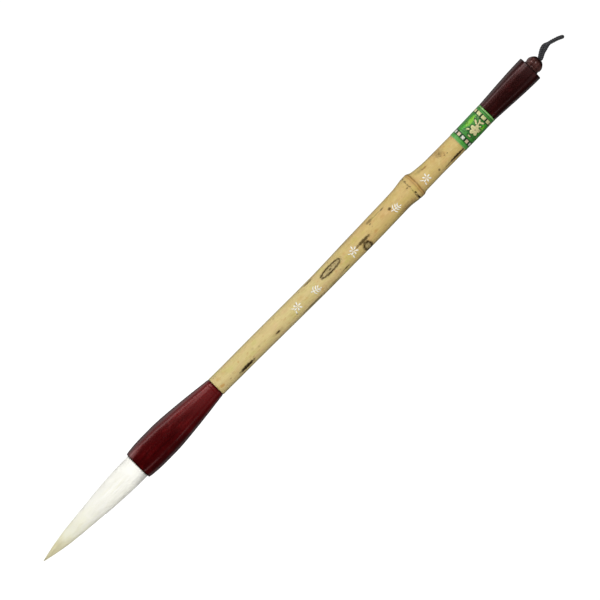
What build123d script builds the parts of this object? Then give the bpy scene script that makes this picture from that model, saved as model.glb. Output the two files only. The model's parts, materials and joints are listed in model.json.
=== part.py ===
from build123d import *

import math
import os

# Large calligraphy brush, standing on the tip of its tuft.
# Units are millimetres. +Z runs up the brush, and the origin is the tip of the hair.
# From the tip up: a goat hair tuft, a turned hardwood ferrule, a bamboo handle with one growth node,
# a paper label band, a flared end cap, a domed button, and a cord loop that the brush hangs from.

# ---- Driving dimensions ----

# Tuft: the free hair below the ferrule, and the bound root that is glued inside it.
tuft_length = 67.3
tuft_radius = 6.95
core_exposed_length = 13.0
core_root_radius = 3.6
core_top_above_hinge = 2.0
hair_fit_gap = 0.02
tuft_bend_limit = 40.0
tuft_hinge_gap = 0.06
root_depth = 17.0
root_waist_radius = 6.45
root_waist_below_top = 1.2
waist_slope = 0.3
binding_thread_radius = 0.22
binding_turns = 7
thread_gap = 0.03
rosin_thickness = 1.3
rosin_edge_height = 0.5
rosin_edge_inset = 0.1
# Flank of the free hair as (radius, height) points, up to where it meets its ball-shaped top.
hair_flank = [(0.15, 0.1), (1.0, 4.0), (2.3, 10.0), (4.18, 24.0), (5.68, 40.0), (6.6, 53.0)]
# The core where the cover hair hides it, from its free end up, as (radius, height) points.
core_flank = [(2.62, core_exposed_length), (3.2, 30.0)]

# Ferrule: barrel-shaped, with a short true cylinder at its widest part for a protective cap.
ferrule_length = 55.5
mouth_radius = 7.95
lip_bevel = 0.12
cap_seat_radius = 8.85
cap_seat_start = 10.7
cap_seat_length = 7.0
ferrule_top_radius = 5.07
tuft_socket_depth = 18.6
# Flank of the ferrule below its cylinder, as (radius, height above the mouth).
ferrule_lower_flank = [(8.42, 2.9)]
# Flank above its cylinder, and the rounded shoulder at its top, as (radius, depth below its top).
ferrule_upper_flank = [(8.23, 26.8), (7.03, 14.8), (5.53, 2.6)]
ferrule_shoulder = (5.34, 1.0)

# Bamboo handle: slightly thicker towards its node, with a turned tenon at each end.
shaft_length = 192.8
shaft_radius = 5.33
shaft_node_radius = 6.82
shaft_upper_radius = 5.36
node_height = 139.2
node_band = 3.9
shaft_bore_radius = 2.4
diaphragm_thickness = 6.0
tenon_radius = 4.1
lower_tenon_length = 20.0
upper_tenon_length = 12.0
tenon_end_gap = 0.5
glue_gap = 0.02
# Outline of the handle below its node, as (radius, height above the ferrule).
lower_stem_outline = [(shaft_radius, 0), (5.43, 37.0), (5.58, 82.0), (5.9, 117.0), (5.95, 131.2)]
# The swelling under the scar, the scar, and the band between scar and groove, all as (radius change
# from the node's widest, height above the scar).
swelling_outline = [(-0.47, -3.4), (-0.06, -0.3)]
scar_outline = [(-0.28, 0), (-0.02, 0.35)]
band_middle_change = 0.04
band_top_change = -0.22
# Outline above the band, as (radius, height above the band).
fall_outline = [(5.78, 3.0), (5.43, 9.0), (shaft_upper_radius, 18.0)]

# Engraved ornaments down the front of the handle, filled with white paint.
mark_heights = (57.2, 69.6, 96.7, 126.7, 148.2)
mark_azimuth = 13.0
mark_depth = 0.25
petal_length = 1.9
petal_width = 0.8
petal_gap = 0.6
petal_count = 5
stem_length = 4.6
stem_width = 0.45
leaf_width = 0.53
leaf_tilt = 40.0
leaf_spread = 0.95
leaf_heights = (-0.35, 1.15)

# Label: one turn of printed foil paper, lapped at the back.
label_length = 21.1
label_thickness = 0.12
label_lap_angle = 24.0

# End cap and button.
cap_length = 31.0
cap_bottom_radius = 5.45
cap_top_radius = 6.96
cap_rim_round = 0.3
knot_cavity_radius = 3.2
knot_cavity_gap = 0.3
button_height = 6.25
spigot_radius = 2.6
spigot_length = 5.4
cord_hole_radius = 1.68
hole_edge_round = 0.25
# Flank of the end cap, as (radius, height above its foot).
cap_flank = [(6.13, 10.5), (6.7, 20.5)]
# The button's foot ring and the groove over it, then its ball, as (radius, height above the cap).
button_foot = [(4.27, 0), (4.27, 0.7), (4.06, 0.88), (4.2, 1.05)]
button_ball = [(4.48, 2.6), (3.42, 5.0)]

# Cord: a loop of one cord, whose two ends pass through the button and are knotted inside the cap.
cord_radius = 0.8
cord_leg_offset = 0.81
cord_end_gap = 0.1
knot_radius = 2.6
knot_height = 4.4
knot_round = 1.9
knot_gap = 0.1
tail_length = 4.5
tail_offset = 0.9
# Middle line of the loop, as (sideways, up) from the mouth of its hole: it leans over and curls back.
loop_middle = [(0, 0), (-0.8, 1.25), (-1.8, 3.0), (-2.6, 5.6), (-2.3, 8.5), (-0.9, 13.0), (0.25, 15.3)]
# Along the middle line, as (share of its length, half the gap between the strands, quarter turns).
loop_strands = [
    (0, 0.81, 0),
    (0.14, 0.82, 0),
    (0.3, 0.98, 0.6),
    (0.5, 2.0, 1),
    (0.7, 3.0, 1),
    (0.88, 2.4, 1),
]
loop_clearance = 0.05

# ---- Heights worked out from the dimensions above ----

mouth_z = tuft_length
ferrule_top_z = mouth_z + ferrule_length
shaft_top_z = ferrule_top_z + shaft_length
node_z = ferrule_top_z + node_height
label_bottom_z = shaft_top_z - label_length
cap_top_z = shaft_top_z + cap_length
button_top_z = cap_top_z + button_height

# The tuft bends about a ball whose centre is this far below the ferrule's mouth, so that hair tilted
# to its limit stays clear of the mouth.
tuft_hinge_z = mouth_z - tuft_radius * math.tan(math.radians(tuft_bend_limit))

# The loop swings about the ball that joins its strands, just above the hole in the button.
loop_hinge_z = button_top_z + cord_radius + loop_clearance
loop_ball_radius = cord_leg_offset + cord_radius + 0.01

# ---- Tuft ----

ball_radius = tuft_radius - 0.05
hair_outline = hair_flank + [(ball_radius, tuft_hinge_z)]
core_outline = core_flank + [(core_root_radius, tuft_hinge_z + core_top_above_hinge)]

# Solid envelope of the free hair: a pointed drop with a ball-shaped top.
with BuildPart() as hair_envelope:
    with BuildSketch(Plane.XZ):
        with BuildLine():
            tip = Line((0, 0), hair_outline[0])
            flank = Spline(*hair_outline)
            ball = CenterArc((0, tuft_hinge_z), ball_radius, 0, 90)
            Line(ball @ 1, tip @ 0)
        make_face()
    revolve(axis=Axis.Z)

# The core is the long inner bundle. Below the cover hair it is the whole tip.
with BuildPart() as core_hair:
    with BuildSketch(Plane.XZ):
        with BuildLine():
            sleeve = Spline(*core_outline)
            top = Line(sleeve @ 1, (0, (sleeve @ 1).Y))
            shoulder = Line((0, core_exposed_length), sleeve @ 0)
            Line(top @ 1, shoulder @ 0)
        make_face()
    revolve(axis=Axis.Z)
    with BuildSketch(Plane.XY):
        Circle(tuft_radius)
    exposed = extrude(amount=core_exposed_length, mode=Mode.PRIVATE)
    add(exposed & hair_envelope.part)
core_hair.part.label = "core_hair"

# The cover hair is a sleeve round the core, and it holds the rounded top that the tuft tilts on.
with BuildPart() as cover_hair:
    add(hair_envelope)
    with BuildSketch(Plane.XY):
        Circle(tuft_radius)
    extrude(amount=core_exposed_length + hair_fit_gap, mode=Mode.SUBTRACT)
    with BuildSketch(Plane.XZ):
        with BuildLine():
            bore = Spline(*[(radius + hair_fit_gap, height) for radius, height in core_outline])
            bore_top = Line(bore @ 1, (0, (bore @ 1).Y + hair_fit_gap))
            bore_mouth = Line((0, core_exposed_length), bore @ 0)
            Line(bore_top @ 1, bore_mouth @ 0)
        make_face()
    revolve(axis=Axis.Z, mode=Mode.SUBTRACT)
cover_hair.part.label = "cover_hair"

# The root is all the hair bound into one hard plug. Its lower end is a cup for the ball, cut back
# in a cone so that the tilted hair has room.
root_top_z = mouth_z + root_depth
thread_pitch = 2 * binding_thread_radius + thread_gap
winding_height = thread_pitch * (binding_turns - 1)
waist_length = winding_height + 2 * (binding_thread_radius + waist_slope) + 0.2
waist_top_z = root_top_z - root_waist_below_top
with BuildPart() as tuft_root:
    cone_radius = (ball_radius + tuft_hinge_gap) * math.cos(math.radians(tuft_bend_limit))
    cone_z = tuft_hinge_z + (ball_radius + tuft_hinge_gap) * math.sin(math.radians(tuft_bend_limit))
    with BuildSketch(Plane.XZ):
        with BuildLine():
            Polyline(
                (0, cone_z),
                (cone_radius, cone_z),
                (tuft_radius, mouth_z),
                (tuft_radius, waist_top_z - waist_length),
                (root_waist_radius, waist_top_z - waist_length + waist_slope),
                (root_waist_radius, waist_top_z - waist_slope),
                (tuft_radius, waist_top_z),
                (tuft_radius, root_top_z),
                (0, root_top_z),
                close=True,
            )
        make_face()
    revolve(axis=Axis.Z)
    with Locations((0, 0, tuft_hinge_z)):
        Sphere(ball_radius + tuft_hinge_gap, mode=Mode.SUBTRACT)
tuft_root.part.label = "tuft_root"

# Hemp thread wound round the waist of the root.
with BuildPart() as root_binding:
    thread_path_radius = root_waist_radius + binding_thread_radius + 0.01
    with BuildLine():
        winding = Helix(
            pitch=thread_pitch,
            height=winding_height,
            radius=thread_path_radius,
            center=(0, 0, waist_top_z - waist_length / 2 - winding_height / 2),
        )
    with BuildSketch(Plane(origin=winding @ 0, z_dir=winding % 0)):
        Circle(binding_thread_radius)
    sweep()
root_binding.part.label = "root_binding"

# Rosin melted over the end of the root, slightly domed.
with BuildPart() as rosin_seal:
    with BuildSketch(Plane.XZ):
        with BuildLine():
            rosin_radius = tuft_radius - rosin_edge_inset
            rim = Line((rosin_radius, root_top_z), (rosin_radius, root_top_z + rosin_edge_height))
            dome = TangentArc((0, root_top_z + rosin_thickness), rim @ 1, tangent=(1, 0))
            Polyline(dome @ 0, (0, root_top_z), rim @ 0)
        make_face()
    revolve(axis=Axis.Z)
rosin_seal.part.label = "rosin_seal"

# ---- Ferrule ----

with BuildPart() as ferrule:
    seat_bottom_z = mouth_z + cap_seat_start
    seat_top_z = seat_bottom_z + cap_seat_length
    with BuildSketch(Plane.XZ):
        with BuildLine():
            lip = Line((0, mouth_z), (mouth_radius - lip_bevel, mouth_z))
            lip_edge = Line(lip @ 1, (mouth_radius, mouth_z + lip_bevel))
            lower_curve = Spline(
                lip_edge @ 1,
                *[(radius, mouth_z + up) for radius, up in ferrule_lower_flank],
                (cap_seat_radius, seat_bottom_z),
                tangents=[(0.3, 1), (0, 1)],
            )
            seat = Line(lower_curve @ 1, (cap_seat_radius, seat_top_z))
            upper_curve = Spline(
                seat @ 1,
                *[(radius, ferrule_top_z - down) for radius, down in ferrule_upper_flank],
                tangents=[(0, 1), (-0.13, 1)],
            )
            top_edge = ThreePointArc(
                upper_curve @ 1,
                (ferrule_shoulder[0], ferrule_top_z - ferrule_shoulder[1]),
                (ferrule_top_radius, ferrule_top_z),
            )
            Polyline(top_edge @ 1, (0, ferrule_top_z), lip @ 0)
        make_face()
    revolve(axis=Axis.Z)
    with Locations((0, 0, mouth_z)):
        Cylinder(
            tuft_radius + glue_gap,
            tuft_socket_depth,
            align=(Align.CENTER, Align.CENTER, Align.MIN),
            mode=Mode.SUBTRACT,
        )
    with Locations((0, 0, ferrule_top_z)):
        Cylinder(
            tenon_radius + glue_gap,
            lower_tenon_length + tenon_end_gap,
            align=(Align.CENTER, Align.CENTER, Align.MAX),
            mode=Mode.SUBTRACT,
        )
ferrule.part.label = "ferrule"

# ---- Bamboo handle ----

band_top_z = node_z + node_band

# Half section of the handle without its tenons, used for the handle and for its thin outer skin.
with BuildSketch(Plane.XZ) as shaft_section:
    with BuildLine():
        lower_stem = Spline(
            *[(radius, ferrule_top_z + up) for radius, up in lower_stem_outline],
            tangents=[(0, 1), (0.02, 1)],
        )
        swelling = Spline(
            lower_stem @ 1,
            *[(shaft_node_radius + change, node_z + up) for change, up in swelling_outline],
            tangents=[(0.02, 1), (0.1, 1)],
        )
        scar = Polyline(
            swelling @ 1,
            *[(shaft_node_radius + change, node_z + up) for change, up in scar_outline],
        )
        band = ThreePointArc(
            scar @ 1,
            (shaft_node_radius + band_middle_change, node_z + node_band / 2),
            (shaft_node_radius + band_top_change, band_top_z),
        )
        fall = Spline(
            band @ 1,
            *[(radius, band_top_z + up) for radius, up in fall_outline],
            tangents=[(-0.9, 1), (0, 1)],
        )
        upper_stem = Line(fall @ 1, (shaft_upper_radius, shaft_top_z))
        Polyline(upper_stem @ 1, (0, shaft_top_z), (0, ferrule_top_z), lower_stem @ 0)
    make_face()

# Skin of the handle, as deep as the engraving.
with BuildPart() as shaft_skin:
    with BuildSketch(Plane.XZ):
        add(shaft_section.sketch_local)
        add(shaft_section.sketch_local.moved(Location((-mark_depth, 0, 0))), mode=Mode.SUBTRACT)
        with Locations((0, (ferrule_top_z + shaft_top_z) / 2)):
            Rectangle(2 * tenon_radius, 2 * shaft_length, mode=Mode.SUBTRACT)
    revolve(axis=Axis.Z)


def mark_plane(height):
    """Plane just outside the handle, facing outwards at the ornaments' azimuth."""
    facing = Location((0, 0, ferrule_top_z + height), (0, 0, mark_azimuth))
    outside = shaft_node_radius + 1.0
    return Plane(facing * Location((0, -outside, 0))).rotated((90, 0, 0))


# White paint in the engraved ornaments: blossoms and leaf sprigs, turn about.
with BuildPart() as mark_inlay:
    for index, height in enumerate(mark_heights):
        with BuildSketch(mark_plane(height)):
            if index % 2 == 0:
                Circle(petal_width / 2)
                with PolarLocations(petal_length / 2 + petal_gap, petal_count, start_angle=90):
                    Ellipse(petal_length / 2, petal_width / 2)
            else:
                SlotOverall(stem_length, stem_width, rotation=90)
                for side in (-1, 1):
                    with Locations(*[(side * leaf_spread, up) for up in leaf_heights]):
                        Ellipse(petal_length / 2, leaf_width / 2, rotation=side * leaf_tilt)
        extrude(amount=-(shaft_node_radius + 1.0))
    add(shaft_skin, mode=Mode.INTERSECT)
mark_inlay.part.label = "mark_inlay"

# The handle is one culm of bamboo: hollow above and below, and closed by the node's diaphragm.
with BuildPart() as bamboo_shaft:
    with BuildSketch(Plane.XZ):
        add(shaft_section.sketch_local)
        with Locations((0, (ferrule_top_z + shaft_top_z) / 2)):
            Rectangle(
                tenon_radius,
                shaft_length + 2 * lower_tenon_length,
                align=(Align.MIN, Align.CENTER),
            )
        with Locations((0, shaft_top_z + upper_tenon_length)):
            Rectangle(
                2 * tenon_radius,
                lower_tenon_length,
                align=(Align.CENTER, Align.MIN),
                mode=Mode.SUBTRACT,
            )
    revolve(axis=Axis.Z)
    lower_end_z = ferrule_top_z - lower_tenon_length
    upper_end_z = shaft_top_z + upper_tenon_length
    lower_bore_length = node_z - diaphragm_thickness / 2 - lower_end_z
    upper_bore_length = upper_end_z - node_z - diaphragm_thickness / 2
    with BuildSketch(Plane.XZ):
        with Locations((0, lower_end_z)):
            Rectangle(
                shaft_bore_radius,
                lower_bore_length - shaft_bore_radius,
                align=(Align.MIN, Align.MIN),
            )
        with Locations((0, upper_end_z)):
            Rectangle(
                shaft_bore_radius,
                upper_bore_length - shaft_bore_radius,
                align=(Align.MIN, Align.MAX),
            )
    revolve(axis=Axis.Z, mode=Mode.SUBTRACT)
    with Locations(
        (0, 0, lower_end_z + lower_bore_length - shaft_bore_radius),
        (0, 0, upper_end_z - upper_bore_length + shaft_bore_radius),
    ):
        Sphere(shaft_bore_radius, mode=Mode.SUBTRACT)
    add(mark_inlay, mode=Mode.SUBTRACT)
bamboo_shaft.part.label = "bamboo_shaft"

# ---- Label ----

with BuildPart() as label_band:
    inner_radius = shaft_upper_radius + glue_gap
    outer_radius = inner_radius + label_thickness
    with BuildSketch(Plane.XY.offset(label_bottom_z)):
        Circle(outer_radius)
        with BuildLine():
            lap_half = label_lap_angle / 2
            lap = CenterArc((0, 0), outer_radius + label_thickness, 90 - lap_half, label_lap_angle)
            Polyline(lap @ 1, (0, 0), lap @ 0)
        make_face()
        Circle(inner_radius, mode=Mode.SUBTRACT)
    extrude(amount=label_length)
label_band.part.label = "label_band"

# ---- End cap and button ----

with BuildPart() as end_cap:
    with BuildSketch(Plane.XZ):
        with BuildLine():
            foot = Line((0, shaft_top_z), (cap_bottom_radius, shaft_top_z))
            flare = Spline(
                foot @ 1,
                *[(radius, shaft_top_z + up) for radius, up in cap_flank],
                (cap_top_radius, cap_top_z - cap_rim_round),
                tangents=[(0.06, 1), (0, 1)],
            )
            rim_round = TangentArc(
                flare @ 1,
                (cap_top_radius - cap_rim_round, cap_top_z),
                tangent=(0, 1),
            )
            Polyline(rim_round @ 1, (0, cap_top_z), foot @ 0)
        make_face()
    revolve(axis=Axis.Z)
    socket_depth = upper_tenon_length + tenon_end_gap
    with Locations((0, 0, shaft_top_z)):
        Cylinder(
            tenon_radius + glue_gap,
            socket_depth,
            align=(Align.CENTER, Align.CENTER, Align.MIN),
            mode=Mode.SUBTRACT,
        )
    with Locations((0, 0, shaft_top_z + socket_depth)):
        Cylinder(
            knot_cavity_radius,
            cap_length - socket_depth - spigot_length - knot_cavity_gap,
            align=(Align.CENTER, Align.CENTER, Align.MIN),
            mode=Mode.SUBTRACT,
        )
    with Locations((0, 0, cap_top_z)):
        Cylinder(
            spigot_radius + glue_gap,
            cap_length - socket_depth,
            align=(Align.CENTER, Align.CENTER, Align.MAX),
            mode=Mode.SUBTRACT,
        )
end_cap.part.label = "end_cap"

# Ball-shaped button on a spigot, drilled through for the cord, with a ring and a groove at its foot.
with BuildPart() as cap_button:
    with BuildSketch(Plane.XZ):
        with BuildLine():
            spigot = Polyline(
                (cord_hole_radius, cap_top_z - spigot_length),
                (spigot_radius, cap_top_z - spigot_length),
                (spigot_radius, cap_top_z),
                *[(radius, cap_top_z + up) for radius, up in button_foot],
            )
            ball_flank = Spline(
                spigot @ 1,
                *[(radius, cap_top_z + up) for radius, up in button_ball],
                (cord_hole_radius + hole_edge_round, button_top_z),
                tangents=[(0.6, 1), (-1, 0.15)],
            )
            hole_edge = TangentArc(
                (cord_hole_radius, button_top_z - hole_edge_round),
                ball_flank @ 1,
                tangent=(0, 1),
            )
            Line(hole_edge @ 0, spigot @ 0)
        make_face()
    revolve(axis=Axis.Z)
cap_button.part.label = "cap_button"

# ---- Cord ----

# Knot inside the cap: a rounded lump with two short tails, and the two legs that rise to the hole.
with BuildPart() as cord_knot:
    knot_top_z = cap_top_z - spigot_length - knot_gap
    knot_centre_z = knot_top_z - knot_height / 2
    leg_top_z = loop_hinge_z - loop_ball_radius - cord_end_gap
    with BuildSketch(Plane.XZ) as knot_section:
        with Locations((0, knot_centre_z)):
            Rectangle(knot_radius, knot_height, align=(Align.MIN, Align.CENTER))
        fillet(knot_section.vertices().group_by(Axis.X)[-1], knot_round)
    revolve(axis=Axis.Z)
    with Locations((cord_leg_offset, 0, knot_centre_z), (-cord_leg_offset, 0, knot_centre_z)):
        Cylinder(
            cord_radius,
            leg_top_z - knot_centre_z,
            align=(Align.CENTER, Align.CENTER, Align.MIN),
        )
    with Locations(
        (tail_offset, tail_offset, knot_centre_z),
        (-tail_offset, -tail_offset, knot_centre_z),
    ):
        Cylinder(
            cord_radius,
            knot_height / 2 + tail_length,
            align=(Align.CENTER, Align.CENTER, Align.MAX),
        )
cord_knot.part.label = "cord_knot"

# Middle line of the loop outside, in the plane that it leans in.
with BuildLine(Plane.XZ) as loop_line:
    Spline(*[(sideways, loop_hinge_z + up) for sideways, up in loop_middle])


def strand_points(side):
    """Points of one strand: it lies beside the middle line, and turns out of its plane to form the eye."""
    middle = loop_line.line
    points = []
    for share, half_gap, quarter_turns in loop_strands:
        across = (middle % share).cross(Vector(0, 1, 0))
        turn = math.radians(90 * quarter_turns)
        offset = across * math.cos(turn) + Vector(0, 1, 0) * math.sin(turn)
        points.append(middle @ share + offset * half_gap * side)
    return points


# The loop outside: both strands, closed over the top, and joined by a ball at the mouth of the hole.
with BuildPart() as hanging_loop:
    with BuildLine():
        run = Spline(*strand_points(1), loop_line.line @ 1, *reversed(strand_points(-1)))
    with BuildSketch(Plane(origin=run @ 0, z_dir=run % 0)):
        Circle(cord_radius)
    sweep()
    with Locations((0, 0, loop_hinge_z)):
        Sphere(loop_ball_radius)
hanging_loop.part.label = "hanging_loop"

# ---- Export ----

os.makedirs("parts", exist_ok=True)
for piece in (
    core_hair,
    cover_hair,
    tuft_root,
    root_binding,
    rosin_seal,
    ferrule,
    bamboo_shaft,
    mark_inlay,
    label_band,
    end_cap,
    cap_button,
    cord_knot,
    hanging_loop,
):
    export_step(piece.part, f"parts/{piece.part.label}.step")
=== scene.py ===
import json
import math

import bpy
import numpy as np
from mathutils import Matrix, Vector


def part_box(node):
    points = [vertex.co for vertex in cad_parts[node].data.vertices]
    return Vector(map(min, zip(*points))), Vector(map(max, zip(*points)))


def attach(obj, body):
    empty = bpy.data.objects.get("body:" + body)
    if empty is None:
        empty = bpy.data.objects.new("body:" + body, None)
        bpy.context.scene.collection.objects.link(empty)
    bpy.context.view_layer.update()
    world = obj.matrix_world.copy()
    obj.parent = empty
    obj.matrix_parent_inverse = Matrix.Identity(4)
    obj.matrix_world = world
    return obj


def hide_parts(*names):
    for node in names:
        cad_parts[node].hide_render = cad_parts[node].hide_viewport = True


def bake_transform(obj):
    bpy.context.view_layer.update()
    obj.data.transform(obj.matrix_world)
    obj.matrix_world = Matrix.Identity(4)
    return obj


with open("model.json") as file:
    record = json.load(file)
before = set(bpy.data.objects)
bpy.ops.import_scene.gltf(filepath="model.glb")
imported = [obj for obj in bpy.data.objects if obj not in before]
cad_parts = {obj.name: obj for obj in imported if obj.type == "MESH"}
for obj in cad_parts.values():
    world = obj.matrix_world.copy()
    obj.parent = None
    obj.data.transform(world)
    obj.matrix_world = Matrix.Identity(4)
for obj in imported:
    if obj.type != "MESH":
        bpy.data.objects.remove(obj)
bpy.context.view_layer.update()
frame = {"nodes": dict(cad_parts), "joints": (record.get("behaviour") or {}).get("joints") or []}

# Looks for the calligraphy brush. The frame is in metres. Shapes below are worked out in millimetres
# and turned into metres when a mesh is made. +Z runs up the brush, and the camera looks along +Y.

MM = 0.001
rng = np.random.default_rng(20)


# ---- Places read from the frame ----

def span(node):
    """Lowest and highest point of a CAD node, in millimetres up the brush."""
    low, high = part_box(node)
    return low.z / MM, high.z / MM


def outline(nodes, low, high, least=0.0):
    """Heights and outer radii of CAD nodes between two heights, read on the side without ornaments."""
    points = []
    for name in nodes:
        vertices = frame["nodes"][name].data.vertices
        found = np.zeros(len(vertices) * 3)
        vertices.foreach_get("co", found)
        points.append(found.reshape(-1, 3) / MM)
    points = np.concatenate(points)
    radii = np.hypot(points[:, 0], points[:, 1])
    kept = (points[:, 1] >= 0) & (points[:, 2] > low - 0.01) & (points[:, 2] < high + 0.01) & (radii > least)
    heights = np.round(points[kept, 2], 2)
    levels = np.unique(heights)
    widest = np.array([radii[kept][heights == level].max() for level in levels])
    return levels, widest


mouth_z, ferrule_top_z = span("ferrule")
cap_low_z, cap_top_z = span("end_cap")
label_low_z, label_top_z = span("label_band")
button_top_z = span("cap_button")[1]
joint_height = {joint["name"]: joint["pos_m"][2] / MM for joint in frame["joints"]}
tuft_hinge_z = joint_height["tuft_bend"]
loop_hinge_z = joint_height["loop_swing"]
tuft_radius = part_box("tuft_root")[1].x / MM
label_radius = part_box("label_band")[1].x / MM

culm_levels, culm_radii = outline(["bamboo_shaft"], ferrule_top_z, cap_low_z, least=4.9)
tuft_levels, tuft_radii = outline(["core_hair", "cover_hair"], 0.0, tuft_hinge_z)
# Some points lie inside the flat faces of the mesh, so only the widest of each short length is kept.
parts = np.floor(tuft_levels / 2.2)
widest = [np.flatnonzero(parts == part)[np.argmax(tuft_radii[parts == part])] for part in np.unique(parts)]
tuft_levels = np.r_[0, tuft_levels[widest]]
tuft_radii = np.r_[0.03, np.maximum.accumulate(tuft_radii[widest])]
node_z = culm_levels[np.argmax(culm_radii)]


# ---- Small helpers ----

def smooth(low, high, value):
    """0 below low, 1 above high, and an S curve between."""
    t = np.clip((value - low) / (high - low), 0, 1)
    return t * t * (3 - 2 * t)


def curve_through(places, values, at):
    """Smooth curve through a few values, flat at both ends."""
    places, values = np.array(places, float), np.array(values, float)
    slopes = np.gradient(values, places)
    slopes[0] = slopes[-1] = 0
    k = np.clip(np.searchsorted(places, at) - 1, 0, len(places) - 2)
    width = places[k + 1] - places[k]
    t = np.clip((at - places[k]) / width, 0, 1)
    return (
        values[k] * (2 * t**3 - 3 * t**2 + 1)
        + values[k + 1] * (3 * t**2 - 2 * t**3)
        + slopes[k] * width * (t**3 - 2 * t**2 + t)
        + slopes[k + 1] * width * (t**3 - t**2)
    )


def add_mesh(name, points, faces, material):
    """A mesh object from points in millimetres."""
    mesh = bpy.data.meshes.new(name)
    mesh.from_pydata((np.asarray(points) * MM).tolist(), [], faces)
    mesh.polygons.foreach_set("use_smooth", np.ones(len(mesh.polygons), bool))
    mesh.materials.append(material)
    mesh.update()
    made = bpy.data.objects.new(name, mesh)
    bpy.context.scene.collection.objects.link(made)
    return made


def add_values(piece, name, values):
    """Stores one number, or one colour, for each point of a piece, for its material to read."""
    values = np.asarray(values, np.float32)
    kind, field = ("FLOAT", "value") if values.ndim == 1 else ("FLOAT_COLOR", "color")
    piece.data.attributes.new(name, kind, "POINT").data.foreach_set(field, values.ravel())


def ring_faces(rings, around, first=0):
    """Quads between neighbouring rings of points."""
    step = np.arange(around)
    ahead = (step + 1) % around
    faces = []
    for k in range(rings - 1):
        low = first + k * around
        high = low + around
        faces += np.stack([low + step, low + ahead, high + ahead, high + step], 1).tolist()
    return faces


def tube_faces(rings, around, first=0):
    """Faces of a closed tube: its points are the rings and then a pole for each end."""
    faces = ring_faces(rings, around, first)
    low_pole = first + rings * around
    last = first + (rings - 1) * around
    for a in range(around):
        b = (a + 1) % around
        faces.append([first + b, first + a, low_pole])
        faces.append([last + a, last + b, low_pole + 1])
    return faces


def tube(name, rings, low_pole, high_pole, material):
    """A closed skin over rings of points, with a pole at each end."""
    count, around, _ = rings.shape
    points = np.concatenate([rings.reshape(-1, 3), [low_pole, high_pole]])
    return add_mesh(name, points, tube_faces(count, around), material)


def with_poles(grid):
    """Values on rings, laid out to match the points of tube()."""
    flat = grid.reshape(-1, *grid.shape[2:])
    return np.concatenate([flat, [grid[0].mean(0)], [grid[-1].mean(0)]])


def about_axis(radius, angle, z):
    """Points at a radius, an angle and a height about the brush's axis."""
    return np.stack([radius * np.cos(angle), radius * np.sin(angle), z + 0 * angle], -1)


def soften(line, times):
    """Rounds the corners of a line of values in place. Its ends stay where they are."""
    for _ in range(times):
        line[1:-1] = (line[:-2] + 2 * line[1:-1] + line[2:]) / 4


def lengths(points):
    """Distance along a line of points, up to each of them."""
    return np.r_[0, np.cumsum(np.linalg.norm(np.diff(points, axis=0), axis=1))]


def stand_in(piece, node):
    """Hangs a piece on the handle, in place of a CAD node."""
    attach(piece, "handle")
    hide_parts(node)


# ---- Material helpers ----

def tone(red, green, blue):
    """A colour given as 0 to 255 screen values."""
    linear = [((c / 255 + 0.055) / 1.055) ** 2.4 if c > 10 else c / 255 / 12.92 for c in (red, green, blue)]
    return (*linear, 1.0)


def put(tree, kind, inputs=None, **settings):
    """Adds a shader node, and fills its inputs with values or with the outputs of other nodes."""
    made = tree.nodes.new("ShaderNode" + kind)
    for key, value in settings.items():
        setattr(made, key, value)
    for key, value in (inputs or {}).items():
        if isinstance(value, bpy.types.NodeSocket):
            tree.links.new(value, made.inputs[key])
        else:
            made.inputs[key].default_value = value
    return made


def empty_tree(owner):
    """The cleared node tree of a material or world."""
    owner.use_nodes = True
    owner.node_tree.nodes.clear()
    return owner.node_tree


def calc(tree, operation, a, b=0.0, c=0.0):
    return put(tree, "Math", {0: a, 1: b, 2: c}, operation=operation).outputs[0]


def mix(tree, factor, a, b, mode="MIX"):
    inputs = {0: factor, 6: a, 7: b}
    return put(tree, "Mix", inputs, data_type="RGBA", blend_type=mode).outputs[2]


def ramp(tree, factor, stops):
    """A colour ramp through (place, colour) stops."""
    made = put(tree, "ValToRGB", {0: factor})
    elements = made.color_ramp.elements
    while len(elements) < len(stops):
        elements.new(0.5)
    for element, (place, colour) in zip(elements, stops):
        element.position = place
        element.color = colour
    return made.outputs[0]


def level(tree, factor, low, high, to_low=0.0, to_high=1.0):
    """Maps a value from one range to another with soft ends."""
    inputs = {0: factor, 1: low, 2: high, 3: to_low, 4: to_high}
    return put(tree, "MapRange", inputs, interpolation_type="SMOOTHSTEP").outputs[0]


def attribute(tree, name, output="Fac"):
    return put(tree, "Attribute", attribute_name=name).outputs[output]


def coordinates(tree, stretch):
    """Place on the object in millimetres, squeezed along each axis by stretch."""
    place = put(tree, "TexCoord").outputs["Object"]
    scale = [1 / (MM * s) for s in stretch]
    return put(tree, "Mapping", {"Vector": place, "Scale": scale}).outputs[0]


def height_on(tree):
    """Height on the object, in metres."""
    return put(tree, "SeparateXYZ", {0: put(tree, "TexCoord").outputs["Object"]}).outputs[2]


def turned_away(tree):
    """0 where the surface faces the viewer, and 1 at its outline."""
    return put(tree, "LayerWeight", {"Blend": 0.5}).outputs["Facing"]


def noise(tree, vector, detail, roughness, distortion=0.0):
    inputs = {"Vector": vector, "Scale": 1, "Detail": detail, "Roughness": roughness, "Distortion": distortion}
    return put(tree, "TexNoise", inputs).outputs["Fac"]


def pattern(tree, spot, detail, roughness, distortion=0.0):
    """Noise fixed to the object, with spots of this size along each axis, in millimetres."""
    return noise(tree, coordinates(tree, spot), detail, roughness, distortion)


def bump(tree, height, depth_mm, strength=1.0, normal=None):
    inputs = {"Height": height, "Distance": depth_mm * MM, "Strength": strength}
    if normal is not None:
        inputs["Normal"] = normal
    return put(tree, "Bump", inputs).outputs[0]


def finish_material(name, build):
    """A material whose build function returns the inputs of its principled shader."""
    material = bpy.data.materials.new(name)
    tree = empty_tree(material)
    shader = put(tree, "BsdfPrincipled", build(tree))
    put(tree, "OutputMaterial", {"Surface": shader.outputs[0]})
    return material


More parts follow.
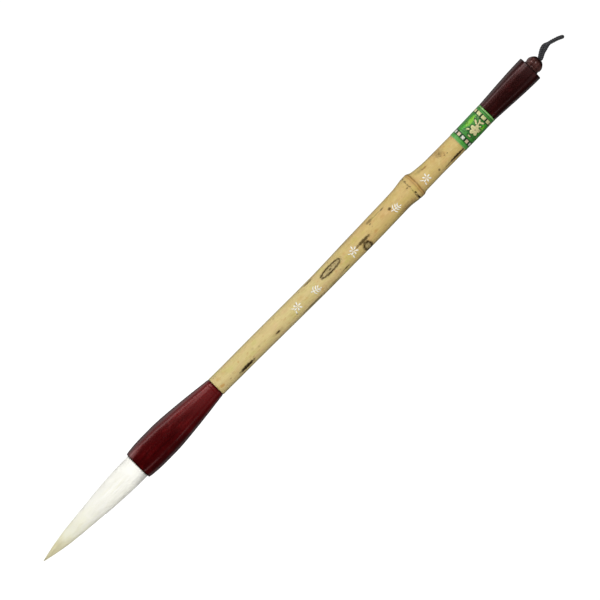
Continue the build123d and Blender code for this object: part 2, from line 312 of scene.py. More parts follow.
# ---- Materials ----

def bamboo_look(tree):
    """Straw rind with long fibres, olive and pink washes, freckles, the stains stored on the mesh, and painted
    shade at its outline.
    """
    wash = pattern(tree, (3.2, 3.2, 17), 4, 0.6, 0.4)
    colour = ramp(tree, wash, [
        (0.30, tone(208, 190, 122)),
        (0.46, tone(219, 199, 133)),
        (0.58, tone(221, 196, 137)),
        (0.74, tone(212, 180, 124)),
    ])
    patches = pattern(tree, (4.5, 4.5, 9), 3, 0.6)
    colour = mix(tree, level(tree, patches, 0.54, 0.68, 0, 0.75), colour, tone(224, 184, 134))
    colour = mix(tree, level(tree, patches, 0.47, 0.34, 0, 0.8), colour, tone(208, 200, 116))
    height = height_on(tree)
    colour = mix(tree, level(tree, height, 0.225, 0.17, 0, 0.45), colour, tone(232, 214, 148))
    colour = mix(tree, level(tree, height, 0.195, 0.235, 0, 0.5), colour, tone(220, 184, 104))
    mottle = pattern(tree, (1.5, 1.5, 2.6), 3, 0.65)
    colour = mix(tree, level(tree, mottle, 0.55, 0.70, 0, 0.45), colour, tone(200, 158, 90))
    colour = mix(tree, level(tree, mottle, 0.44, 0.3, 0, 0.35), colour, tone(232, 214, 156))
    fibre = pattern(tree, (0.16, 0.16, 9), 3, 0.7)
    colour = mix(tree, level(tree, fibre, 0.35, 0.7, 0.22, 0), colour, tone(160, 134, 72))

    cells = put(tree, "TexVoronoi", {"Vector": coordinates(tree, (1.0, 1.0, 1.5)), "Scale": 0.30})
    rare = level(tree, put(tree, "SeparateColor", {0: cells.outputs["Color"]}).outputs[0], 0.62, 0.7)
    freckle = calc(tree, "MULTIPLY", level(tree, cells.outputs["Distance"], 0.17, 0.07), rare)
    colour = mix(tree, calc(tree, "MULTIPLY", freckle, 0.45), colour, tone(150, 108, 66))

    # Painted shade: the rind is darkened towards its outline, seen from any side.
    edge = turned_away(tree)
    colour = mix(tree, level(tree, edge, 0.40, 0.95, 0, 0.5), colour, tone(130, 124, 84))
    grit = pattern(tree, (0.5, 0.5, 1.1), 3, 0.65)
    broken = level(tree, grit, 0.3, 0.62, 0.45, 1.0)
    colour = mix(tree, calc(tree, "MULTIPLY", attribute(tree, "ochre"), broken), colour, tone(196, 140, 62))
    colour = mix(tree, calc(tree, "MULTIPLY", attribute(tree, "haze"), broken), colour, tone(122, 92, 44))
    inside_stain = mix(tree, level(tree, grit, 0.36, 0.56), tone(120, 100, 54), tone(196, 176, 122))
    colour = mix(tree, attribute(tree, "olive"), colour, inside_stain)
    stain = calc(tree, "MULTIPLY", attribute(tree, "stain"), level(tree, grit, 0.2, 0.5, 0.82, 1.0))
    colour = mix(tree, stain, colour, tone(46, 28, 2))
    return {
        "Base Color": colour,
        "Roughness": level(tree, wash, 0.3, 0.7, 0.38, 0.5),
        "Specular IOR Level": level(tree, stain, 0.2, 0.9, 0.35, 0.12),
        "Coat Weight": level(tree, stain, 0.2, 0.9, 0.12, 0.0),
        "Coat Roughness": 0.3,
        "Normal": bump(tree, fibre, 0.03, 0.6),
    }


def hardwood_look(dark, middle, light, warm, glow, ends, redder=0.0, gloss=1.0):
    """Polished turned hardwood: long grain, short dark pores, and a clear lacquer over a warm gloss.
    It has painted shade at its two turned ends, which are given as heights, and at its outline, and can be
    redder towards its top.
    Glow is the colour of the soft gloss of the wood under the lacquer, and gloss is its strength."""
    def build(tree):
        grain = pattern(tree, (1.6, 1.6, 26), 4, 0.55, 0.8)
        colour = ramp(tree, grain, [(0.28, dark), (0.5, middle), (0.72, light)])
        clouds = pattern(tree, (4, 4, 10), 3, 0.6)
        colour = mix(tree, level(tree, clouds, 0.42, 0.30, 0, 0.7), colour, dark)
        colour = mix(tree, level(tree, clouds, 0.54, 0.70, 0, 0.75), colour, warm)
        pores = pattern(tree, (0.16, 0.16, 2.2), 2, 0.5)
        colour = mix(tree, level(tree, pores, 0.58, 0.72, 0, 0.45), colour, tone(18, 1, 1))
        height = height_on(tree)
        span_z = ends[1] - ends[0]
        high = level(tree, height, (ends[0] + 0.5 * span_z) * MM, (ends[0] + 0.95 * span_z) * MM, 0, redder)
        colour = mix(tree, high, colour, warm)
        # Painted shade: dark bands at the two turned ends, where the rounded rims show dark.
        near_end = 0.0
        for end, fade in ((ends[0], 0.9), (ends[1], -1.2)):
            near = level(tree, height, end * MM, (end + fade) * MM, 0.85, 0)
            colour = mix(tree, near, colour, tone(20, 3, 3))
            near_end = calc(tree, "ADD", near, near_end)
        # Painted shade towards the outline, seen from any side.
        edge = turned_away(tree)
        colour = mix(tree, level(tree, edge, 0.45, 0.95, 0, 0.85), colour, tone(16, 4, 4))
        skin = pattern(tree, (1.6, 1.6, 3.5), 3, 0.6)
        return {
            "Base Color": colour,
            "Roughness": level(tree, grain, 0.3, 0.7, 0.36, 0.3),
            "Specular IOR Level": calc(tree, "MULTIPLY_ADD", near_end, -0.9 * gloss, gloss),
            "Specular Tint": glow,
            "Coat Weight": 0.65,
            "Coat Roughness": level(tree, skin, 0.3, 0.7, 0.15, 0.22),
            "Coat IOR": 1.5,
            "Normal": bump(tree, pores, 0.01, 0.15, bump(tree, skin, 0.02, 0.15)),
        }
    return build


# The front and back of the hair, along this line, get a painted glow, and its flanks get painted shade.
HAIR_LIGHT = (-0.42, -0.91, 0.0)


def hair_look(tree):
    """White goat hair: fine streaks along the hair, tan and greenish towards the point. A faint painted glow
    stands for the light that passes between the hairs. It is left out on the flanks, which get painted shade."""
    turn = attribute(tree, "turn")
    height = attribute(tree, "height")
    across, along = calc(tree, "MULTIPLY", turn, 60), calc(tree, "MULTIPLY", height, 0.05)
    streak = noise(tree, put(tree, "CombineXYZ", {0: across, 1: along}).outputs[0], 4, 0.7)
    colour = ramp(tree, streak, [
        (0.30, tone(246, 244, 232)),
        (0.50, tone(253, 252, 244)),
        (0.70, tone(255, 255, 250)),
    ])
    patch = pattern(tree, (3, 3, 10), 2, 0.5)
    point = calc(tree, "ADD", height, level(tree, patch, 0.3, 0.7, -3.5, 3.5))
    colour = mix(tree, level(tree, point, 40, 12, 0, 0.7), colour, tone(240, 238, 210))
    tan = ramp(tree, streak, [(0.3, tone(210, 202, 160)), (0.7, tone(234, 226, 188))])
    colour = mix(tree, level(tree, point, 20, 5, 0, 0.85), colour, tan)
    colour = mix(tree, level(tree, height, 4, 0, 0, 0.6), colour, tone(182, 182, 146))
    # Painted shade: the flanks of the hair, away from the line above, are greyed.
    normal = put(tree, "NewGeometry").outputs["Normal"]
    facing = put(tree, "VectorMath", {0: normal, 1: HAIR_LIGHT}, operation="DOT_PRODUCT")
    lit = calc(tree, "ABSOLUTE", facing.outputs["Value"])
    colour = mix(tree, level(tree, lit, 0.55, 0.05, 0, 0.45), colour, tone(214, 214, 204))
    return {
        "Base Color": colour,
        "Roughness": 0.6,
        "Specular IOR Level": 0.2,
        "Sheen Weight": 0.1,
        "Sheen Roughness": 0.4,
        # Painted light: a faint glow on the front and back of the hair.
        "Emission Color": colour,
        "Emission Strength": level(tree, lit, 0.15, 0.8, 0.0, 0.13),
        "Normal": bump(tree, streak, 0.04, 0.4),
    }


def cord_look(tree):
    """Black waxed cotton: fine fibres that follow the twist, with a painted highlight on the crest of each ply
    and painted shade between.
    """
    ply_crest_highlight = attribute(tree, "ply_crest_highlight")
    fibre = pattern(tree, (0.12, 0.12, 0.5), 3, 0.7)
    # Painted highlight on the crest of each ply, and painted shade in the grooves between.
    colour = mix(tree, level(tree, ply_crest_highlight, 0.1, 0.9), tone(20, 20, 22), tone(72, 72, 75))
    colour = mix(tree, level(tree, fibre, 0.35, 0.7, 0, 0.5), colour, tone(34, 34, 37))
    return {
        "Base Color": colour,
        "Roughness": 0.55,
        "Specular IOR Level": 0.35,
        "Sheen Weight": 0.1,
        "Normal": bump(tree, fibre, 0.05, 0.6),
    }


def paint_look(tree):
    """Chalky white paint, thin in places."""
    worn = pattern(tree, (0.6, 0.6, 0.9), 4, 0.7)
    colour = ramp(tree, worn, [(0.28, tone(222, 210, 176)), (0.45, tone(250, 248, 238))])
    return {"Base Color": colour, "Roughness": 0.7, "Normal": bump(tree, worn, 0.03, 0.5)}


def label_look(tree):
    """Printed foil paper: the print and the painted reflections of the foil are stored on the mesh, with a
    fine paper texture and a painted metal sheen.
    """
    print_and_painted_reflection = attribute(tree, "print", "Color")
    paper = pattern(tree, (0.35, 0.35, 0.35), 4, 0.7)
    sheen = pattern(tree, (2.2, 2.2, 6), 3, 0.5)
    colour = mix(tree, level(tree, paper, 0.35, 0.75, 0.0, 0.22), print_and_painted_reflection, tone(20, 70, 22))
    # Painted sheen: streaks of brighter yellow-green fixed on the foil.
    colour = mix(tree, level(tree, sheen, 0.5, 0.75, 0, 0.35), colour, tone(140, 210, 60), "SOFT_LIGHT")
    return {
        "Base Color": colour,
        "Metallic": 0.1,
        "Roughness": level(tree, paper, 0.3, 0.7, 0.3, 0.42),
        "Coat Weight": 0.4,
        "Coat Roughness": 0.2,
        "Normal": bump(tree, paper, 0.01, 0.3),
    }


def fibre_look(dark, light, size_mm, roughness=0.8):
    """Plain fibre or resin for the hidden pieces: mottled, with a fine relief."""
    def build(tree):
        weave = pattern(tree, (size_mm, size_mm, size_mm * 4), 4, 0.65)
        return {
            "Base Color": ramp(tree, weave, [(0.3, dark), (0.7, light)]),
            "Roughness": roughness,
            "Normal": bump(tree, weave, 0.05, 0.6),
        }
    return build


bamboo = finish_material("bamboo_rind", bamboo_look)
rosewood = finish_material("red_hardwood", hardwood_look(
    tone(44, 0, 2), tone(60, 1, 3), tone(76, 3, 6), tone(94, 8, 10), tone(255, 70, 66),
    (mouth_z, ferrule_top_z), redder=0.8,
))
dark_hardwood = finish_material("dark_hardwood", hardwood_look(
    tone(24, 3, 3), tone(35, 8, 7), tone(48, 10, 10), tone(64, 14, 14), tone(255, 120, 116),
    (cap_low_z, cap_top_z), gloss=0.5,
))
brown_hardwood = finish_material("brown_hardwood", hardwood_look(
    tone(52, 22, 20), tone(80, 47, 43), tone(104, 68, 63), tone(112, 76, 71), tone(255, 190, 180),
    # Painted shade on the top of the button's ball.
    (cap_top_z - 1, button_top_z - 0.8), gloss=0.6,
))
hair = finish_material("goat_hair", hair_look)
cord = finish_material("twisted_cord", cord_look)
paint = finish_material("white_paint", paint_look)
label_foil = finish_material("foil_paper", label_look)
bound_hair = finish_material("bound_hair", fibre_look(tone(178, 160, 120), tone(226, 214, 184), 0.15))
hemp = finish_material("hemp_thread", fibre_look(tone(120, 92, 50), tone(176, 146, 96), 0.1))
rosin = finish_material("rosin", fibre_look(tone(110, 56, 12), tone(170, 104, 34), 0.9, 0.2))
knot_cord = finish_material("knot_cord", fibre_look(tone(18, 18, 20), tone(60, 60, 62), 0.12, 0.6))

for node, material in {
    "ferrule": rosewood,
    "end_cap": dark_hardwood,
    "tuft_root": bound_hair,
    "root_binding": hemp,
    "rosin_seal": rosin,
    "cord_knot": knot_cord,
}.items():
    data = frame["nodes"][node].data
    data.materials.clear()
    data.materials.append(material)
    data.polygons.foreach_set("use_smooth", np.ones(len(data.polygons), bool))


# ---- Bamboo ----

FRONT = -math.pi / 2
culm_bow = [
    (ferrule_top_z, 0.08), (130, 0.17), (150, 0.26), (170, 0.45), (186, 0.62), (196, 0.68), (206, 0.57),
    (216, 0.40), (228, 0.30), (240, 0.10), (250, -0.10), (258, -0.30), (264, -0.20), (268, 0.10), (272, 0.32),
    (282, 0.42), (290, 0.42), (302, 0.30), (cap_low_z, 0.05),
]


def bow(z):
    """How far the handle's middle strays from the straight axis, sideways and in depth."""
    free = smooth(ferrule_top_z, ferrule_top_z + 30, z) * (1 - smooth(cap_low_z - 30, cap_low_z, z))
    return curve_through(*zip(*culm_bow), z), 0.22 * free * np.sin(z / 31 + 1)


def bow_shift(z):
    """The handle's bow as a shift for each point."""
    sideways, depth = bow(z)
    return np.stack([sideways, depth, 0 * z], -1)


def node_slant(angle):
    """The node's rings lie slightly tilted and wavy."""
    turn = angle - FRONT
    tilt = -0.55 * (1 - np.cos(turn + 0.3))
    return tilt + 0.08 * np.sin(3 * angle + 1.0) + 0.04 * np.sin(7 * angle)


def culm_point(angle, z):
    """Point on the bamboo's rind: the turned outline, made slightly oval, fluted, bowed and uneven."""
    near_node = np.exp(-(((z - node_z) / 6.0) ** 2))
    level_z = z - near_node * node_slant(angle)
    ridge = 0.12 * np.exp(-(((level_z - node_z - 1.3) / 0.5) ** 2))
    radius = np.interp(level_z, culm_levels, culm_radii) + ridge
    free = smooth(ferrule_top_z, ferrule_top_z + 6, z) * (1 - smooth(label_low_z - 5, label_low_z, z))
    oval = 0.05 * np.cos(2 * (angle - 0.012 * z)) + 0.025 * np.cos(3 * angle + 0.03 * z)
    flutes = 0.010 * np.cos(23 * angle + 0.02 * z) + 0.008 * np.cos(41 * angle - 0.03 * z + 1)
    radius = radius + free * (oval + flutes) - 0.02
    return about_axis(radius, angle, z) + bow_shift(z + 0 * angle)


# Stains as (height, place across, half length, half width, strength), and outlined ones also with the width
# of their line. Place across is measured from the middle of the front, as seen from there, and beyond the
# edge it goes on round the back in millimetres of arc.
OUTLINED_STAINS = [
    (204.9, -1.35, 7.4, 1.6, 1.0, 0.42),
    (226.4, 4.1, 2.2, 1.9, 1.0, 0.72),
    (172.0, -12.0, 6.0, 1.2, 0.9, 0.4),
    (238.0, 13.5, 4.5, 1.6, 0.9, 0.5),
    (243.0, -15.5, 3.0, 1.0, 0.8, 0.4),
]
DARK_STAINS = [
    (141.3, 3.7, 5.4, 0.85, 1.0), (164.1, 2.5, 1.2, 0.5, 0.95), (177.3, 2.8, 0.5, 0.35, 0.6),
    (192.0, -4.6, 2.9, 0.35, 0.75), (187.0, 4.75, 7.5, 0.4, 0.6), (211.2, 3.9, 2.0, 0.3, 0.75),
    (222.0, 0.9, 1.2, 0.25, 0.7), (226.6, 0.75, 4.6, 0.85, 0.8), (204.6, -1.3, 1.2, 0.45, 0.75),
    (235.3, -3.6, 2.3, 0.6, 0.55),
    (234.5, -2.35, 0.7, 0.3, 0.65), (244.0, -3.3, 1.4, 0.35, 0.65), (240.0, -3.4, 4.0, 0.2, 0.4),
    (246.8, -0.7, 1.1, 0.7, 0.8), (260.4, -1.25, 0.75, 0.3, 0.65), (278.3, 2.9, 0.65, 0.55, 0.7),
    (289.9, 4.05, 5.6, 0.6, 0.95), (284.0, 4.2, 2.6, 0.25, 0.5), (283.7, -3.0, 0.5, 0.35, 0.6),
    (283.4, -1.75, 0.35, 0.3, 0.55), (285.2, -0.6, 0.4, 0.35, 0.6), (287.0, -0.3, 0.3, 0.25, 0.8),
    (285.8, -1.5, 0.3, 0.3, 0.5), (273.6, -3.2, 1.8, 0.4, 0.4), (256.0, 5.2, 5.0, 0.5, 0.3),
    (262.0, 2.4, 0.5, 0.5, 0.95), (262.1, 3.5, 0.3, 0.4, 0.5), (261.8, 5.0, 0.55, 0.9, 1.0),
    (262.0, -3.7, 0.4, 0.35, 0.7), (262.0, -0.8, 0.4, 0.35, 0.7), (262.0, -5.2, 0.4, 0.5, 0.6),
    (254.0, 9.5, 2.5, 0.7, 0.7), (281.0, -9.0, 3.6, 0.8, 0.7), (190.0, 15.0, 5.0, 0.8, 0.7),
    (140.0, -16.0, 4.0, 0.6, 0.8), (158.0, 11.0, 2.2, 0.4, 0.7), (222.0, -9.5, 3.0, 0.5, 0.7),
]
BROWN_HAZES = [
    (164.1, 2.5, 3.6, 0.9, 0.45), (201.0, 4.7, 6.0, 0.7, 0.45), (208.5, 3.95, 4.0, 0.35, 0.5),
    (252.0, -1.0, 1.2, 0.5, 0.2), (254.5, 4.4, 8.0, 1.3, 0.5), (270.5, -3.6, 2.6, 0.9, 0.45),
    (283.6, -3.1, 3.0, 1.7, 0.6), (283.6, -4.3, 3.2, 0.9, 0.5), (240.0, 3.3, 1.0, 0.4, 0.3),
    (167.0, -4.0, 1.0, 0.5, 0.35), (153.6, -4.0, 1.2, 0.5, 0.2), (152.3, 0.9, 0.8, 0.7, 0.4),
    (149.0, -0.5, 0.9, 0.8, 0.22), (133.8, 1.0, 0.7, 0.6, 0.25), (126.3, -4.2, 0.8, 0.5, 0.35),
    (286.0, 4.2, 9.0, 0.5, 0.3), (225.4, 0.75, 6.5, 0.9, 0.4), (204.9, -1.35, 8.6, 1.9, 0.25),
    (200.0, 12.0, 9.0, 3.0, 0.4), (220.0, -11.0, 8.0, 2.6, 0.45), (270.0, 16.0, 5.0, 2.0, 0.5),
    (155.0, -14.0, 7.0, 2.2, 0.4), (137.0, 9.5, 6.0, 1.5, 0.35), (245.0, 10.0, 7.0, 1.4, 0.4),
]
OCHRE_HAZES = [
    (125.6, 1.9, 1.5, 0.95, 0.85), (126.1, -2.1, 1.4, 1.0, 0.35), (139.5, -1.05, 0.65, 0.6, 0.6),
    (157.3, -1.3, 0.5, 0.5, 0.25), (171.2, 3.2, 1.0, 0.5, 0.35), (186.4, 0.6, 0.9, 0.9, 0.35),
    (184.0, -1.5, 2.4, 1.6, 0.3), (194.7, 2.9, 1.0, 0.7, 0.6), (206.0, 1.5, 1.0, 0.5, 0.4),
    (210.7, 0.3, 1.0, 0.7, 0.35), (215.0, -1.5, 1.2, 1.0, 0.35), (234.5, 1.75, 1.6, 0.7, 0.6),
    (241.4, -0.7, 1.9, 1.2, 0.45), (249.0, -4.4, 0.9, 0.5, 0.4), (273.5, -3.2, 2.2, 0.7, 0.7),
    (290.3, -1.9, 1.0, 0.7, 0.35), (288.0, -3.9, 1.0, 0.6, 0.4), (279.0, -2.6, 2.0, 1.2, 0.3),
    (285.0, -1.2, 2.4, 1.6, 0.5), (130.5, -2.6, 2.0, 1.2, 0.2), (246.8, -0.45, 1.5, 0.9, 0.4),
]


# Radius at which distances round the rind are measured.
RIND_RADIUS = 5.45


def arc_of(across):
    """Distance round the rind for a place seen across the front."""
    if abs(across) < 0.97 * RIND_RADIUS:
        return RIND_RADIUS * math.asin(across / RIND_RADIUS)
    return across


def stain_distance(arc, z, stain):
    """Distance from the middle of a stain, where 1 is its rim, and how fast that grows in each millimetre."""
    height, across, half_length, half_width = stain[:4]
    middle = arc_of(across)
    seen = max(0.35, math.cos(min(1.3, abs(middle) / RIND_RADIUS)))
    u, v = (arc - middle) * seen / half_width, (z - height) / half_length
    d = np.hypot(u, v)
    return d, np.hypot(u * seen / half_width, v / half_length) / np.maximum(d, 0.05)


def stains(angle, z):
    """How stained the rind is at each point, as (dark stain, olive fill, brown haze, ochre haze)."""
    around = (angle - FRONT + math.pi) % (2 * math.pi) - math.pi
    arc = around * RIND_RADIUS
    rough = 0.10 * np.sin(3.1 * z + 5 * around) + 0.08 * np.sin(5.7 * z - 3 * arc)
    rough = rough + 0.06 * np.sin(9 * arc + z)
    ragged = rough + 0.12 * np.sin(11 * arc + 1.3 * z) * np.sin(2.1 * z)
    dark, olive = np.zeros_like(arc), np.zeros_like(arc)
    for stain in OUTLINED_STAINS:
        d, growth = stain_distance(arc, z, stain)
        d = d + 0.4 * rough
        rim = np.clip(1.35 * np.exp(-(((d - 0.9) / growth / stain[5]) ** 2)), 0, 1)
        dark = np.maximum(dark, stain[4] * rim * (0.88 + 0.12 * np.sin(4 * arc + 0.9 * z)))
        olive = np.maximum(olive, 0.8 * (1 - smooth(0.8, 0.95, d)))

    def strongest(group, unevenness, core, rim):
        """The strongest of a group of soft-edged stains at each point."""
        return np.maximum.reduce([
            stain[4] * (1 - smooth(core, rim, stain_distance(arc, z, stain)[0] + unevenness))
            for stain in group
        ])

    dark = np.maximum(dark, strongest(DARK_STAINS, ragged, 0.6, 1.25))
    haze = strongest(BROWN_HAZES, ragged, 0.3, 1.2)
    ochre = strongest(OCHRE_HAZES, rough, 0.3, 1.2)
    # A broken dark line in the scar under the node, brown in the groove over it, and pink between.
    up = z - node_slant(angle)
    broken = 0.45 + 0.35 * np.sin(9 * angle) * np.sin(4 * angle + 2) + 0.2 * np.sin(31 * angle)
    scar = broken * np.exp(-(((up - scar_z) / 0.3) ** 2))
    groove = np.exp(-(((up - groove_z) / 0.4) ** 2)) + 0.55 * np.exp(-(((up - groove_z + 1.2) / 0.3) ** 2))
    dark = np.maximum(dark, np.maximum(0.5 * groove, np.clip(scar, 0, 1)))
    between = smooth(scar_z + 0.8, groove_z, up) * (1 - smooth(groove_z, groove_z + 0.8, up))
    ochre = np.maximum(ochre, 0.75 * between)
    # The ends of the culm are slightly brown where they meet the turned wood and the paper.
    ends = np.exp(-(z - ferrule_top_z) / 0.5) + np.exp(-np.abs(z - label_low_z) / 0.4)
    return dark, olive, np.maximum(haze, 0.4 * np.clip(ends, 0, 1)), ochre


# The widest point of the culm lies midway between the scar and the groove.
scar_z = node_z - 1.95
groove_z = node_z + 1.95


def make_culm():
    """The visible bamboo, closed inside the ferrule and inside the end cap."""
    around, step, node_step, node_reach = 160, 0.34, 0.2, 8
    tenon_radius, tenon_gap, joint_gap = 4.08, 0.05, 0.02
    angles = np.linspace(0, 2 * math.pi, around, endpoint=False)
    rind_low, rind_top = ferrule_top_z + joint_gap, cap_low_z - joint_gap
    heights = np.concatenate([
        np.arange(rind_low, node_z - node_reach, step),
        np.arange(node_z - node_reach, node_z + node_reach, node_step),
        np.arange(node_z + node_reach, cap_low_z - 0.1, step),
        [rind_top],
    ])
    angle, z = np.meshgrid(angles, heights)
    shaft_low, shaft_top = span("bamboo_shaft")
    low_tenon = [about_axis(tenon_radius, angles, h) for h in (shaft_low + tenon_gap, rind_low)]
    high_tenon = [about_axis(tenon_radius, angles, h) for h in (rind_top, shaft_top - tenon_gap)]
    grid = np.concatenate([low_tenon, culm_point(angle, z), high_tenon])
    piece = tube("bamboo_culm", grid, grid[0].mean(0), grid[-1].mean(0), bamboo)
    clean = np.zeros((2, around))
    for name, mask in zip(("stain", "olive", "haze", "ochre"), stains(angle, z)):
        add_values(piece, name, with_poles(np.concatenate([clean, mask, clean])))
    return piece


stand_in(make_culm(), "bamboo_shaft")


# ---- White ornaments on the bamboo ----

ornament_azimuth = math.radians(13)
ornament_heights = [ferrule_top_z + h for h in (57.2, 69.6, 96.7, 126.7, 148.2)]
ornament_tilts = [0.10, -0.25, 0.35, -0.1, 0.2]
ornament_shifts = [-0.9, -0.4, -0.5, 0.0, 0.1]
ornament_scale = 1.06
ornament_radius = 5.5


def stroke(points, widths):
    """Outline of a brush stroke through points (across, up) with a width at each."""
    points, widths = np.array(points, float), np.array(widths, float)
    spacing = lengths(points)
    fine = np.linspace(0, spacing[-1], 9)
    line = np.stack([curve_through(spacing, points[:, k], fine) for k in (0, 1)], 1)
    half = np.interp(fine, spacing, widths)[:, None] / 2
    ahead = np.gradient(line, axis=0)
    ahead /= np.linalg.norm(ahead, axis=1)[:, None]
    side = np.stack([-ahead[:, 1], ahead[:, 0]], 1)
    return np.concatenate([line - side * half, (line + side * half)[::-1]])


def petal(turn, start, end, width):
    """A petal or leaf drawn as one stroke, thin at its root and at its point."""
    c, s = math.cos(turn), math.sin(turn)
    reach = end - start
    along = [(start, 0), (start + 0.35 * reach, 0.05 * reach), (start + 0.7 * reach, 0.04 * reach), (end, 0)]
    points = [(a * c - b * s, a * s + b * c) for a, b in along]
    return stroke(points, (0.3, 1.1 * width, 1.15 * width, 0.16))


def blossom():
    """Six slim petals round a ring of stamens, on a bent stem with a leaf."""
    shapes = []
    for k in range(6):
        turn = math.radians(60 * k + 30)
        shapes.append(petal(turn, 0.75, 2.35 - 0.25 * (k % 2), 0.62))
        c, s = math.cos(turn + 0.5), math.sin(turn + 0.5)
        shapes.append(stroke([(r * c, r * s) for r in (0.3, 0.72)], (0.3, 0.22)))
    shapes.append(stroke([(-0.5, -1.6), (-0.95, -2.3), (-1.8, -2.9)], (0.26, 0.44, 0.2)))
    shapes.append(stroke([(0.75, -2.0), (1.35, -2.55), (2.2, -2.65)], (0.2, 0.6, 0.16)))
    return shapes


def sprig():
    """A curved stem with leaves in pairs and a bud at its end."""
    shapes = [stroke([(-0.25, -2.7), (0.1, -0.9), (0.05, 0.8), (0.4, 2.1)], (0.5, 0.4, 0.34, 0.26))]
    for side in (-1, 1):
        for k, up in enumerate((-1.3, 0.0, 1.1)):
            reach = 2.0 - 0.35 * k
            root = 0.12 * side
            shapes.append(stroke(
                [(root, up), (root + side * 0.5 * reach, up + 0.22), (root + side * reach, up + 1.0)],
                (0.22, 0.6, 0.16),
            ))
    shapes.append(petal(math.radians(80), 2.2, 3.0, 0.5) + np.array([0.05, 0.0]))
    return shapes


def make_ornaments():
    """Thin plates of paint that follow the rind, standing a hair's breadth proud of it."""
    points, faces = [], []
    places = zip(ornament_heights, ornament_tilts, ornament_shifts)
    for index, (height, tilt, shift) in enumerate(places):
        c, s = math.cos(tilt), math.sin(tilt)
        for shape in blossom() if index % 2 == 0 else sprig():
            shape = shape @ np.array([[c, s], [-s, c]]) * ornament_scale
            middle = shape.mean(0)
            plates = []
            for share, lift in ((0.6, 0.05), (1.0, 0.03), (1.0, -0.12), (0.6, -0.12)):
                ring = middle + (shape - middle) * share
                angle = FRONT + ornament_azimuth + (ring[:, 0] + shift) / ornament_radius
                place = culm_point(angle, height + ring[:, 1])
                plates.append(place + about_axis(1, angle, 0) * lift)
            first = len(points)
            ends = [plates[0].mean(0), plates[3].mean(0)]
            points += [p for ring in plates for p in ring] + ends
            for face in tube_faces(4, len(shape), first):
                faces.append(face[::-1])
    return add_mesh("paint_ornaments", points, faces, paint)


stand_in(make_ornaments(), "mark_inlay")


# ---- Label ----

CREAM, IVORY, BLUSH, LEAF, LIME, GRASS, DEEP, PALE, MEADOW = (np.array(tone(*shade)) for shade in (
    (226, 222, 160), (222, 224, 208), (226, 200, 166), (62, 148, 48), (126, 200, 32), (76, 184, 42),
    (16, 66, 26), (158, 198, 122), (92, 176, 78),
))


def inside(distance, softness=0.07):
    """1 inside an outline and 0 outside it, with a soft edge."""
    return 1 - smooth(-softness, softness, distance)


def box_distance(u, v, middle, half_size):
    return np.maximum(np.abs(u - middle[0]) - half_size[0], np.abs(v - middle[1]) - half_size[1])


def oval_distance(u, v, middle, half_size, turn=0.0):
    c, s = math.cos(turn), math.sin(turn)
    across, up = u - middle[0], v - middle[1]
    a, b = (across * c + up * s) / half_size[0], (up * c - across * s) / half_size[1]
    return (np.hypot(a, b) - 1) * min(half_size)


